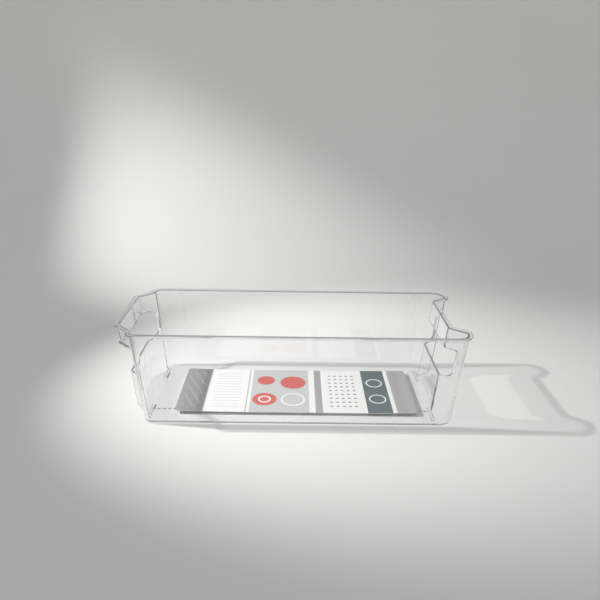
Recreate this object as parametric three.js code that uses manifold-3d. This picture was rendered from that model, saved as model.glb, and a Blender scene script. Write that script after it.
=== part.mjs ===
import * as THREE from 'three';
import { mergeVertices } from 'three/addons/utils/BufferGeometryUtils.js';
import Module from 'manifold-3d';

// A clear one-piece storage bin and the loose printed card that lies on its floor.
// X runs along the bin, Y across it and Z up, from the middle of its footprint. All lengths are in millimetres.
// One end bulges out and the other is recessed. Each has a grip plate with a hand opening under it.

const wasm = await Module();
wasm.setup();

// Driving dimensions of the bin. Lengths and widths are outside the walls at the rim.
const BIN_LENGTH = 317.8;
const BIN_WIDTH = 120;
const BIN_HEIGHT = 90;
const WALL = 2;
const FLOOR = 2;

// How far the walls lean in between the rim and the base, as the moulding needs
const END_LEAN = 8.4;
const SIDE_LEAN = 0.6;
const BULGE_FACE_LEAN = 9;
const BULGE_ROOT_LEAN = 3;
const RECESS_LEAN = 1.5;

// The bulging end at -X: its depth, the shoulder that it leaves on each side, and how far each return slants in.
// Its grip plate stands out past the wall below, so that the two halves of a mould can meet in the hand opening.
const BULGE_DEPTH = 14;
const BULGE_SILL_DEPTH = 11;
const BULGE_BASE_DEPTH = 12.9;
const BULGE_SHOULDER = 10;
const BULGE_SLANT = 12.5;

// The recessed end at +X: its depth, the width of the nose on each side, and how far each return slants in
const RECESS_DEPTH = 14.5;
const NOSE_WIDTH = 16.5;
const RECESS_SLANT = 10.5;

// Plan radii of the upright edges, outside the wall
const BULGE_CORNER_RADIUS = 8.5;
const RECESS_CORNER_RADIUS = 13;
const SMALL_CORNER_RADIUS = 3;
const LEAST_RADIUS = 0.3;
const CORNER_STEPS = 8;
const SMALL_CORNER_STEPS = 4;
const CORNER_ROOM_SHARE = 0.98;

// The rim's outward lip and the rounded edge round the base
const LIP_WIDTH = 2.8;
const LIP_HEIGHT = 3;
const LIP_ROUND = 0.8;
const LIP_STEPS = 3;
const BASE_ROUND = 2.5;
const BASE_STEPS = 5;

// The hand openings under the two grip plates. A setback is how far a cut stops short of its bay's widest part.
const PLATE_HEIGHT = 20;
const OPENING_HEIGHT = 28;
const OPENING_TOP_RADIUS = 2;
const BULGE_OPENING_SETBACK = 3;
const BULGE_OPENING_RADIUS = 11;
const RECESS_OPENING_SETBACK = 2;
const RECESS_OPENING_RADIUS = 7.5;
const OPENING_STEPS = 8;
const OVERRUN = 8;

// The bead that stiffens the lower edge of the bulge's grip plate
const BEAD_WIDTH = 2;
const BEAD_HEIGHT = 2.4;
const BEAD_ROUND = 0.8;
const BEAD_END_GAP = 3;

// The ribbed panel that is moulded into the floor, by its distances from the rim's ends and sides
const PANEL_BULGE_INSET = 24.3;
const PANEL_RECESS_INSET = 27.5;
const PANEL_SIDE_INSET = 23;
const RIB_PITCH = 5;
const RIB_FOOT = 3.2;
const RIB_TOP = 2;
const RIB_HEIGHT = 0.5;
const RIB_ROOT = 0.6;

// The four capsule-shaped feet under the floor, by their distances from the recess and from the base's sides
const FOOT_END_INSET = 2.6;
const FOOT_SIDE_INSET = 9;
const FOOT_LENGTH = 24;
const FOOT_WIDTH = 3.2;
const FOOT_HEIGHT = 1;
const FOOT_ROOT = 1.7;
const FOOT_STEPS = 6;

// The printed card, by its gaps to the walls round the floor. It bows up a little towards its two short ends.
const CARD_BULGE_GAP = 37.8;
const CARD_RECESS_GAP = 13.6;
const CARD_SIDE_GAP = 14.9;
const CARD_THICKNESS = 0.5;
const CARD_CORNER_RADIUS = 3;
const CARD_CORNER_STEPS = 5;
const CARD_BOW = 1.2;
const CARD_BOW_STEPS = 24;
const SEAT_CLEARANCE = 0.3;

const BULGE_ROOT_HALF = BIN_WIDTH / 2 - BULGE_SHOULDER;
const BULGE_FACE_HALF = BULGE_ROOT_HALF - BULGE_SLANT;
const RECESS_MOUTH_HALF = BIN_WIDTH / 2 - NOSE_WIDTH;
const RECESS_FACE_HALF = RECESS_MOUTH_HALF - RECESS_SLANT;
const BASE_END_X = BIN_LENGTH / 2 - END_LEAN;
const BASE_SIDE_Y = BIN_WIDTH / 2 - SIDE_LEAN;
const BASE_RECESS_X = BASE_END_X - RECESS_DEPTH;
const BASE_Z = FOOT_HEIGHT;
const FLOOR_Z = BASE_Z + FLOOR;
const RIB_TOP_Z = FLOOR_Z + RIB_HEIGHT;
const PLATE_BOTTOM_Z = BIN_HEIGHT - PLATE_HEIGHT;
const OPENING_BOTTOM_Z = PLATE_BOTTOM_Z - OPENING_HEIGHT;

const clearPlastic = new THREE.MeshStandardMaterial({
  name: 'clear_plastic', color: 0xdfe7ec, roughness: 0.06, metalness: 0, transparent: true, opacity: 0.35,
});
const printedCard = new THREE.MeshStandardMaterial({
  name: 'printed_card', color: 0xf1f1ee, roughness: 0.55, metalness: 0,
});

// Solids: geometry in, geometry out, joined and cut in between

function toSolid(geometry) {
  const bare = new THREE.BufferGeometry();
  bare.setAttribute('position', geometry.getAttribute('position').clone());
  if (geometry.index) bare.setIndex(geometry.index.clone());
  const merged = mergeVertices(bare, LEAST_RADIUS / 1000);
  return new wasm.Manifold(new wasm.Mesh({
    numProp: 3,
    vertProperties: new Float32Array(merged.getAttribute('position').array),
    triVerts: new Uint32Array(merged.index.array),
  }));
}

function toGeometry(solid) {
  const mesh = solid.getMesh();
  const geometry = new THREE.BufferGeometry();
  geometry.setAttribute('position', new THREE.BufferAttribute(new Float32Array(mesh.vertProperties), 3));
  geometry.setIndex(new THREE.BufferAttribute(new Uint32Array(mesh.triVerts), 1));
  geometry.computeVertexNormals();
  return geometry;
}

// Plan outlines: twelve corners, each rounded by its own radius

function bulgeDepth(z) {
  const { mapLinear } = THREE.MathUtils;
  if (z >= PLATE_BOTTOM_Z) return BULGE_DEPTH;
  if (z >= OPENING_BOTTOM_Z) return mapLinear(z, OPENING_BOTTOM_Z, PLATE_BOTTOM_Z, BULGE_SILL_DEPTH, BULGE_DEPTH);
  return mapLinear(z, 0, OPENING_BOTTOM_Z, BULGE_BASE_DEPTH, BULGE_SILL_DEPTH);
}

function wallCorners(z) {
  const drop = (BIN_HEIGHT - z) / BIN_HEIGHT;
  const endX = BIN_LENGTH / 2 - END_LEAN * drop;
  const sideY = BIN_WIDTH / 2 - SIDE_LEAN * drop;
  const bulgeRootX = BULGE_DEPTH - endX;
  const bulgeFaceX = bulgeRootX - bulgeDepth(z);
  const bulgeRootY = BULGE_ROOT_HALF - BULGE_ROOT_LEAN * drop;
  const bulgeFaceY = BULGE_FACE_HALF - BULGE_FACE_LEAN * drop;
  const recessFaceX = endX - RECESS_DEPTH;
  const recessFaceY = RECESS_FACE_HALF + RECESS_LEAN * drop;
  const recessMouthY = RECESS_MOUTH_HALF + RECESS_LEAN * drop;
  const corner = (x, y, radius, steps) => ({ at: new THREE.Vector2(x, y), radius, steps });
  const small = (x, y) => corner(x, y, SMALL_CORNER_RADIUS, SMALL_CORNER_STEPS);
  return [
    corner(bulgeRootX, -sideY, BULGE_CORNER_RADIUS, CORNER_STEPS),
    corner(endX, -sideY, RECESS_CORNER_RADIUS, CORNER_STEPS),
    small(endX, -recessMouthY),
    small(recessFaceX, -recessFaceY),
    small(recessFaceX, recessFaceY),
    small(endX, recessMouthY),
    corner(endX, sideY, RECESS_CORNER_RADIUS, CORNER_STEPS),
    corner(bulgeRootX, sideY, BULGE_CORNER_RADIUS, CORNER_STEPS),
    small(bulgeRootX, bulgeRootY),
    small(bulgeFaceX, bulgeFaceY),
    small(bulgeFaceX, -bulgeFaceY),
    small(bulgeRootX, -bulgeRootY),
  ];
}

// The corners moved out square to their edges. A corner's turn is positive where the outline is convex.
function movedOut(corners, distance) {
  const count = corners.length;
  return corners.map((corner, i) => {
    const before = corners[(i + count - 1) % count].at;
    const after = corners[(i + 1) % count].at;
    const into = corner.at.clone().sub(before).normalize();
    const out = after.clone().sub(corner.at).normalize();
    const turn = Math.atan2(into.cross(out), into.dot(out));
    const along = distance * Math.tan(turn / 2);
    const at = corner.at.clone();
    at.x += into.y * distance + into.x * along;
    at.y += -into.x * distance + into.y * along;
    const radius = Math.max(corner.radius + Math.sign(turn) * distance, LEAST_RADIUS);
    return { ...corner, at, radius, into, turn };
  });
}

function outline(z, distance) {
  const corners = movedOut(wallCorners(z), distance);
  const count = corners.length;
  const reach = corners.map((corner) => corner.radius * Math.tan(Math.abs(corner.turn) / 2));
  const room = corners.map((corner, i) => {
    const next = (i + 1) % count;
    const edge = corner.at.distanceTo(corners[next].at) * CORNER_ROOM_SHARE;
    return Math.min(1, edge / (reach[i] + reach[next]));
  });
  const points = [];
  corners.forEach((corner, i) => {
    const fit = Math.min(room[i], room[(i + count - 1) % count]);
    const radius = corner.radius * fit;
    const side = Math.sign(corner.turn);
    const start = corner.at.clone().addScaledVector(corner.into, -reach[i] * fit);
    const inward = new THREE.Vector2(-corner.into.y, corner.into.x).multiplyScalar(side * radius);
    const centre = start.clone().add(inward);
    const spoke = inward.negate();
    for (let step = 0; step <= corner.steps; step += 1) {
      const angle = corner.turn * step / corner.steps;
      points.push(spoke.clone().rotateAround(new THREE.Vector2(), angle).add(centre));
    }
  });
  return points;
}

// The wall's section: how far each ring stands outside the wall, and at which height

function quarterTurn(steps, make) {
  return Array.from({ length: steps + 1 }, (_, step) => make(Math.PI / 2 * step / steps));
}

function wallSection() {
  const lipUnder = BIN_HEIGHT - LIP_HEIGHT;
  const innerRound = BASE_ROUND - WALL;
  const base = quarterTurn(BASE_STEPS, (turn) => ({
    out: BASE_ROUND * (Math.sin(turn) - 1),
    z: BASE_Z + BASE_ROUND * (1 - Math.cos(turn)),
  }));
  const lipLower = quarterTurn(LIP_STEPS, (turn) => ({
    out: LIP_WIDTH - LIP_ROUND * (1 - Math.sin(turn)),
    z: lipUnder + LIP_ROUND * (1 - Math.cos(turn)),
  }));
  const lipUpper = quarterTurn(LIP_STEPS, (turn) => ({
    out: LIP_WIDTH - LIP_ROUND * (1 - Math.cos(turn)),
    z: BIN_HEIGHT - LIP_ROUND * (1 - Math.sin(turn)),
  }));
  const rimInner = quarterTurn(LIP_STEPS, (turn) => ({
    out: -WALL + LIP_ROUND * (1 - Math.sin(turn)),
    z: BIN_HEIGHT - LIP_ROUND * (1 - Math.cos(turn)),
  }));
  const floorEdge = quarterTurn(BASE_STEPS, (turn) => ({
    out: -WALL - innerRound * (1 - Math.cos(turn)),
    z: FLOOR_Z + innerRound * (1 - Math.sin(turn)),
  }));
  const outside = [OPENING_BOTTOM_Z, PLATE_BOTTOM_Z, lipUnder].map((z) => ({ out: 0, z }));
  const inside = [PLATE_BOTTOM_Z, OPENING_BOTTOM_Z].map((z) => ({ out: -WALL, z }));
  return [...base, ...outside, ...lipLower, ...lipUpper, ...rimInner, ...inside, ...floorEdge];
}

// A closed skin through rings of equal point counts, with a flat cap on the first and the last ring
function closedSkin(rings) {
  const positions = [];
  const index = [];
  const size = rings[0].points.length;
  for (const ring of rings) {
    for (const point of ring.points) positions.push(point.x, point.y, ring.z);
  }
  for (let level = 0; level + 1 < rings.length; level += 1) {
    for (let i = 0; i < size; i += 1) {
      const a = level * size + i;
      const b = level * size + (i + 1) % size;
      index.push(a, b, b + size, a, b + size, a + size);
    }
  }
  const addCap = (ring, first, facesUp) => {
    for (const [a, b, c] of THREE.ShapeUtils.triangulateShape(ring.points, [])) {
      const area = THREE.ShapeUtils.area([ring.points[a], ring.points[b], ring.points[c]]);
      const keep = (area > 0) === facesUp;
      index.push(first + a, first + (keep ? b : c), first + (keep ? c : b));
    }
  };
  addCap(rings[0], 0, false);
  addCap(rings[rings.length - 1], (rings.length - 1) * size, true);
  const geometry = new THREE.BufferGeometry();
  geometry.setAttribute('position', new THREE.Float32BufferAttribute(positions, 3));
  geometry.setIndex(index);
  return geometry;
}

function skinSolid(section) {
  return toSolid(closedSkin(section.map(({ out, z }) => ({ z, points: outline(z, out) }))));
}

// A rectangle whose lower and upper corners have their own radii
function roundedRectangle(halfWidth, low, high, lowRadius, highRadius) {
  const shape = new THREE.Shape();
  shape.absarc(halfWidth - lowRadius, low + lowRadius, lowRadius, -Math.PI / 2, 0);
  shape.absarc(halfWidth - highRadius, high - highRadius, highRadius, 0, Math.PI / 2);
  shape.absarc(highRadius - halfWidth, high - highRadius, highRadius, Math.PI / 2, Math.PI);
  shape.absarc(lowRadius - halfWidth, low + lowRadius, lowRadius, Math.PI, 1.5 * Math.PI);
  return shape;
}

// One straight cut along X, which takes the bay's face and wraps round on to its slanted returns
function handOpening(halfWidth, cornerRadius, depth) {
  const shape = roundedRectangle(halfWidth, OPENING_BOTTOM_Z, PLATE_BOTTOM_Z, cornerRadius, OPENING_TOP_RADIUS);
  const reach = depth + END_LEAN + WALL + LIP_WIDTH + 2 * OVERRUN;
  const cut = new THREE.ExtrudeGeometry(shape, { depth: reach, bevelEnabled: false, curveSegments: OPENING_STEPS });
  const axes = new THREE.Matrix4().makeBasis(
    new THREE.Vector3(0, 1, 0), new THREE.Vector3(0, 0, 1), new THREE.Vector3(1, 0, 0),
  );
  cut.applyMatrix4(axes);
  cut.translate(BIN_LENGTH / 2 + LIP_WIDTH + OVERRUN - reach, 0, 0);
  return cut;
}

function bulgeOpening() {
  const cut = handOpening(BULGE_ROOT_HALF - BULGE_OPENING_SETBACK, BULGE_OPENING_RADIUS, BULGE_DEPTH);
  cut.rotateZ(Math.PI);
  return toSolid(cut);
}

function recessOpening() {
  const halfWidth = RECESS_MOUTH_HALF - RECESS_OPENING_SETBACK;
  return toSolid(handOpening(halfWidth, RECESS_OPENING_RADIUS, RECESS_DEPTH));
}

// A bead round the whole bin, trimmed to the bulge's grip plate
function plateBead() {
  const top = PLATE_BOTTOM_Z + BEAD_HEIGHT;
  const lower = quarterTurn(LIP_STEPS, (turn) => ({
    out: BEAD_WIDTH - BEAD_ROUND * (1 - Math.sin(turn)),
    z: PLATE_BOTTOM_Z + BEAD_ROUND * (1 - Math.cos(turn)),
  }));
  const upper = quarterTurn(LIP_STEPS, (turn) => ({
    out: BEAD_WIDTH - BEAD_ROUND * (1 - Math.cos(turn)),
    z: top - BEAD_ROUND * (1 - Math.sin(turn)),
  }));
  const core = [PLATE_BOTTOM_Z - OVERRUN, top + OVERRUN].map((z) => ({ out: -WALL / 2, z }));
  const halfWidth = BULGE_ROOT_HALF - BULGE_OPENING_SETBACK - BEAD_END_GAP;
  const zone = new THREE.BoxGeometry(BIN_LENGTH, 2 * halfWidth, 2 * OVERRUN);
  zone.translate(-BIN_LENGTH / 2, 0, PLATE_BOTTOM_Z);
  return skinSolid([...lower, ...upper]).subtract(skinSolid(core)).intersect(toSolid(zone));
}

// The ribs in one comb-shaped section along X, whose back is buried in the floor
function floorRibs() {
  const panelLength = BIN_LENGTH - PANEL_BULGE_INSET - PANEL_RECESS_INSET;
  const panelWidth = BIN_WIDTH - 2 * PANEL_SIDE_INSET;
  const count = Math.floor(panelLength / RIB_PITCH);
  const firstX = -RIB_PITCH * (count - 1) / 2;
  const comb = new THREE.Shape();
  comb.moveTo(firstX - RIB_FOOT / 2, -RIB_ROOT);
  comb.lineTo(-firstX + RIB_FOOT / 2, -RIB_ROOT);
  for (let rib = count - 1; rib >= 0; rib -= 1) {
    const x = firstX + rib * RIB_PITCH;
    comb.lineTo(x + RIB_FOOT / 2, -RIB_ROOT / 2);
    comb.lineTo(x + RIB_TOP / 2, RIB_HEIGHT);
    comb.lineTo(x - RIB_TOP / 2, RIB_HEIGHT);
    comb.lineTo(x - RIB_FOOT / 2, -RIB_ROOT / 2);
  }
  const ribs = new THREE.ExtrudeGeometry(comb, { depth: panelWidth, bevelEnabled: false });
  ribs.rotateX(Math.PI / 2);
  ribs.translate((PANEL_BULGE_INSET - PANEL_RECESS_INSET) / 2, panelWidth / 2, FLOOR_Z);
  return toSolid(ribs);
}

function foot(x, y) {
  const half = FOOT_WIDTH / 2;
  const straight = FOOT_LENGTH - FOOT_WIDTH;
  const capsule = new THREE.Shape();
  capsule.absarc(0, straight / 2, half, 0, Math.PI);
  capsule.absarc(0, -straight / 2, half, Math.PI, 2 * Math.PI);
  const depth = FOOT_HEIGHT + FOOT_ROOT;
  const geometry = new THREE.ExtrudeGeometry(capsule, { depth, bevelEnabled: false, curveSegments: FOOT_STEPS });
  geometry.translate(x, y, 0);
  return toSolid(geometry);
}

function binBody() {
  let body = skinSolid(wallSection()).add(floorRibs());
  const footX = BASE_RECESS_X - FOOT_END_INSET;
  const footY = BASE_SIDE_Y - FOOT_SIDE_INSET - FOOT_LENGTH / 2;
  for (const x of [-footX, footX]) {
    for (const y of [-footY, footY]) body = body.add(foot(x, y));
  }
  body = body.subtract(bulgeOpening()).subtract(recessOpening()).add(plateBead());
  const mesh = new THREE.Mesh(toGeometry(body), clearPlastic);
  mesh.name = 'bin_body';
  return mesh;
}

// The card is its bowed section drawn along Y, trimmed to its rounded outline
function insertCard() {
  const startX = -BASE_END_X + WALL + CARD_BULGE_GAP;
  const endX = BASE_RECESS_X - WALL - CARD_RECESS_GAP;
  const width = 2 * (BASE_SIDE_Y - WALL - CARD_SIDE_GAP);
  const half = (endX - startX) / 2;
  const bowAt = (x) => CARD_BOW * (x / half) ** 4;
  const stations = Array.from({ length: CARD_BOW_STEPS + 1 }, (_, i) => half * (2 * i / CARD_BOW_STEPS - 1));
  const section = new THREE.Shape([
    ...stations.map((x) => new THREE.Vector2(x, bowAt(x))),
    ...stations.toReversed().map((x) => new THREE.Vector2(x, bowAt(x) + CARD_THICKNESS)),
  ]);
  const sheet = new THREE.ExtrudeGeometry(section, { depth: width, bevelEnabled: false });
  sheet.rotateX(Math.PI / 2);
  sheet.translate(0, width / 2, 0);
  const radius = CARD_CORNER_RADIUS;
  const trim = new THREE.ExtrudeGeometry(
    roundedRectangle(half, -width / 2, width / 2, radius, radius),
    { depth: CARD_BOW + CARD_THICKNESS + 2 * OVERRUN, bevelEnabled: false, curveSegments: CARD_CORNER_STEPS },
  );
  trim.translate(0, 0, -OVERRUN);
  const mesh = new THREE.Mesh(toGeometry(toSolid(sheet).intersect(toSolid(trim))), printedCard);
  mesh.name = 'insert_card';
  mesh.position.set((startX + endX) / 2, 0, RIB_TOP_Z + SEAT_CLEARANCE);
  return mesh;
}

const group = new THREE.Group();
group.add(binBody());
group.add(insertCard());

export default group;
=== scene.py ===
"""A clear one-piece storage bin with its loose printed card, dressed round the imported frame.

Everything is in metres, +Z up, in the frame's own place. The bin bulges at -X and is recessed at +X.
"""

import math
from functools import lru_cache
from types import SimpleNamespace

import bmesh
import bpy
import numpy as np
from mathutils import Matrix, Vector


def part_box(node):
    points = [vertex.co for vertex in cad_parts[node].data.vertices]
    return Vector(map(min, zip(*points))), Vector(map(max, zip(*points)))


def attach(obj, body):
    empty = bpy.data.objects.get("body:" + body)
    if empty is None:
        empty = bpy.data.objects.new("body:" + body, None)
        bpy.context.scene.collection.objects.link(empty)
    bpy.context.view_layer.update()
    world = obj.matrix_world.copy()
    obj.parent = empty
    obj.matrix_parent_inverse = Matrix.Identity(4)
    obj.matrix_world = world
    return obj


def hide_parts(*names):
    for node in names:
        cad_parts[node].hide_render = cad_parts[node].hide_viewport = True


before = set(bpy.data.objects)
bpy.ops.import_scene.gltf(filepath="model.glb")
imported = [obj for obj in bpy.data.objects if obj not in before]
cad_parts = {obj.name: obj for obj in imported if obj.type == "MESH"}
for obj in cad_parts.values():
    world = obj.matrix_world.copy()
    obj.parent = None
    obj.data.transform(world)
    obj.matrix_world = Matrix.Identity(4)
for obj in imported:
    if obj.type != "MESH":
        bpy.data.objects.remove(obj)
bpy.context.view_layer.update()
bin_low, bin_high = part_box("bin_body")
card_low, card_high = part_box("insert_card")

bl_info = {
    "name": "Clear Storage Bin",
    "version": (1, 0, 0),
    "blender": (4, 5, 0),
    "location": "3D View > Sidebar > Storage Bin",
    "description": "Moulds a clear storage bin and its printed card round a packed frame",
    "category": "Add Mesh",
}

MM = 0.001


def length(name, description, millimetres):
    """A size that the panel shows in the scene's own units."""
    return bpy.props.FloatProperty(
        name=name, description=description, default=millimetres * MM, unit="LENGTH", precision=5
    )


def colour(name, description, value):
    """A colour that the panel shows as a swatch."""
    return bpy.props.FloatVectorProperty(
        name=name, description=description, default=value, size=3, subtype="COLOR", min=0, max=1
    )


def amount(name, description, value):
    """A plain number from nothing upwards."""
    return bpy.props.FloatProperty(name=name, description=description, default=value, min=0, precision=4)


class StorageBinShape(bpy.types.PropertyGroup):
    """Sizes of the moulding. Lengths and widths are outside the walls at the rim."""

    length: length("Length", "Outside the walls at the rim", 317.8)
    width: length("Width", "Outside the walls at the rim", 120)
    wall: length("Wall", "Thickness of the walls", 2)
    floor: length("Floor", "Thickness of the floor", 2)
    end_lean: length("End lean", "How far the ends lean in between rim and base", 8.4)
    side_lean: length("Side lean", "How far the sides lean in between rim and base", 0.6)
    bulge_depth: length("Bulge depth", "How far the bulging end's grip plate stands out", 14)
    bulge_sill_depth: length("Bulge depth, sill", "How far the bulge stands out under the opening", 11)
    bulge_base_depth: length("Bulge depth, base", "How far the bulge stands out at the base", 12.9)
    bulge_shoulder: length("Bulge shoulder", "Width of the shoulder beside the bulge", 10)
    bulge_slant: length("Bulge slant", "How far each return of the bulge slants in", 12.5)
    bulge_face_lean: length("Bulge face lean", "How much narrower the bulge's face is at the base", 9)
    bulge_root_lean: length("Bulge root lean", "How much narrower the bulge's root is at the base", 3)
    recess_depth: length("Recess depth", "How far the recessed end is set in", 14.5)
    nose_width: length("Nose width", "Width of the nose beside the recess", 16.5)
    recess_slant: length("Recess slant", "How far each return of the recess slants in", 10.5)
    recess_lean: length("Recess lean", "How much wider the recess is at the base", 1.5)
    bulge_corner: length("Bulge corner", "Plan radius of the corners beside the bulge", 8.5)
    recess_corner: length("Recess corner", "Plan radius of the corners beside the recess", 13)
    small_corner: length("Small corner", "Plan radius of the bays' own corners", 3)
    lip_width: length("Lip width", "How far the rim's lip stands out", 2.77)
    lip_height: length("Lip height", "Height of the rim's lip", 2)
    lip_round: length("Lip rounding", "Radius of the lip's lower edge", 1.0)
    lip_crown: length("Lip crown", "Radius of the lip's upper edge", 0.6)
    rim_round: length("Rim rounding", "Radius of the rim's inner edge", 0.35)
    base_round: length("Base rounding", "Radius of the edge round the base", 2.5)
    plate: length("Grip plate", "Height of the grip plates", 20)
    opening: length("Opening", "Height of the hand openings", 28)
    opening_top: length("Opening top", "Radius of the openings' upper corners", 2)
    bulge_setback: length("Bulge setback", "How far the opening stops short of the bulge's root", 3)
    bulge_radius: length("Bulge radius", "Radius of the bulge opening's lower corners", 11)
    recess_setback: length("Recess setback", "How far the opening stops short of the recess's mouth", 2)
    recess_radius: length("Recess radius", "Radius of the recess opening's lower corners", 7.5)
    cut_round: length("Cut rounding", "Radius of the edges round the hand openings", 0.5)
    bead_width: length("Bead width", "How far the bead under the bulge's grip plate stands out", 2)
    bead_height: length("Bead height", "Height of that bead", 2.4)
    bead_end_gap: length("Bead gap", "How far the bead stops short of the opening's sides", 3)
    rib_pitch: length("Rib pitch", "Spacing of the floor's ribs", 5)
    rib_foot: length("Rib foot", "Width of a rib where it meets the floor", 4.0)
    rib_top: length("Rib top", "Width of a rib's flat top", 0.8)
    rib_height: length("Rib height", "Height of the floor's ribs", 0.5)
    panel_bulge_inset: length("Panel inset, bulge", "From the rim to the ribbed panel", 24.3)
    panel_recess_inset: length("Panel inset, recess", "From the rim to the ribbed panel", 27.5)
    panel_side_inset: length("Panel inset, sides", "From the rim to the ribbed panel", 23)
    foot_length: length("Foot length", "Length of a capsule-shaped foot", 24)
    foot_width: length("Foot width", "Width of a capsule-shaped foot", 3.2)
    foot_height: length("Foot height", "How far the feet stand below the base", 1)
    foot_end_inset: length("Foot end inset", "From the recess's face at the base to a foot's middle", 2.6)
    foot_side_inset: length("Foot side inset", "From the base's side to a foot's end", 9)


class StorageBinFinish(bpy.types.PropertyGroup):
    """The clear plastic."""

    tint: colour("Tint", "Colour of the light that crosses a face", (0.997, 1.0, 0.999))
    depth_tint: colour("Depth tint", "Colour that a long way through it tends to", (0.30, 0.40, 0.43))
    depth_density: amount("Depth density", "How fast a long way through it darkens, per metre", 8)
    roughness: amount("Roughness", "Roughness of the polished faces", 0.012)
    refraction: amount("Refraction", "Index of refraction of the plastic", 1.54)
    shadow_tint: colour("Shadow tint", "What one face leaves of a lamp's light", (0.99, 0.993, 0.993))
    wall_shade: amount("Wall shade", "Share of a lamp's light that an upright face stops", 0.10)
    rim_shade: amount("Rim shade", "Share that a face of the thick rim stops as well", 0.28)
    graze_shade: amount("Grazing shade", "Share that a face met edge-on stops as well", 0.45)
    stray_tint: colour("Stray tint", "What is left of light let out of a wall", (0.455, 0.50, 0.51))


class StorageBinCard(bpy.types.PropertyGroup):
    """The printed card."""

    thickness: length("Thickness", "Thickness of the card", 0.5)
    corner: length("Corner", "Radius of the card's corners", 3)
    bow: length("Bow", "How far the card's ends rise", 1.2)
    paper: colour("Paper", "The unprinted card", (0.88, 0.875, 0.85))
    grey: colour("Grey", "The pale printed panels", (0.45, 0.46, 0.46))
    silver: colour("Silver", "The darkest part of the shaded panels", (0.16, 0.165, 0.165))
    accent: colour("Accent", "The bright printed figures", (0.62, 0.085, 0.075))
    ink: colour("Ink", "The dark printed blocks", (0.068, 0.105, 0.118))


class StorageBinStudio(bpy.types.PropertyGroup):
    """The floor and the light."""

    floor: colour("Floor", "The pale floor and the sweep behind", (0.86, 0.855, 0.82))
    key: amount("Key lamp", "Power of the lamp over the bin, in watts", 37)
    shaft: amount("Shaft lamp", "Power of the lamp that lays a shaft of light behind, in watts", 22)
    fill: amount("Fill", "Strength of the light from all round", 0.465)


def plain(group):
    """A property group's values as plain numbers."""
    return SimpleNamespace(**{key: getattr(group, key) for key in group.__annotations__})


BULGE_END = -1
RECESS_END = 1
BIG_STEPS = 14
SMALL_STEPS = 7
CORNER_COUNT = 12
BIG_CORNERS = (0, 1, 6, 7)
CORNER_ROOM_SHARE = 0.98
LEAST_RADIUS = 0.3 * MM
CORNER_STEPS = [BIG_STEPS if i in BIG_CORNERS else SMALL_STEPS for i in range(CORNER_COUNT)]
RING_SIZE = sum(steps + 1 for steps in CORNER_STEPS)


def first_place(corner):
    """Where a corner's points begin in the ring."""
    return sum(CORNER_STEPS[:corner]) + corner


# The run of the ring that each end's opening may cut
END_RUNS = {
    RECESS_END: (first_place(2) - 1, first_place(6)),
    BULGE_END: (first_place(8) - 1, RING_SIZE),
}
SAME_PLACE = 1e-6
ARC_STEPS = 9
STRAIGHT_STEPS = 5
LEVEL_GAP = 0.04 * MM
ROUND_STEPS = 4
BASE_STEPS = 8
LIP_STEPS = 6
CAP_MARGIN = 0.3 * MM
BEAD_SHARES = (0.06, 0.18, 0.32, 0.5, 0.68, 0.82, 0.94, 1.0)
BEAD_FULLNESS = 0.5
BEAD_END_SLOPE = 0.5 * MM


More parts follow.
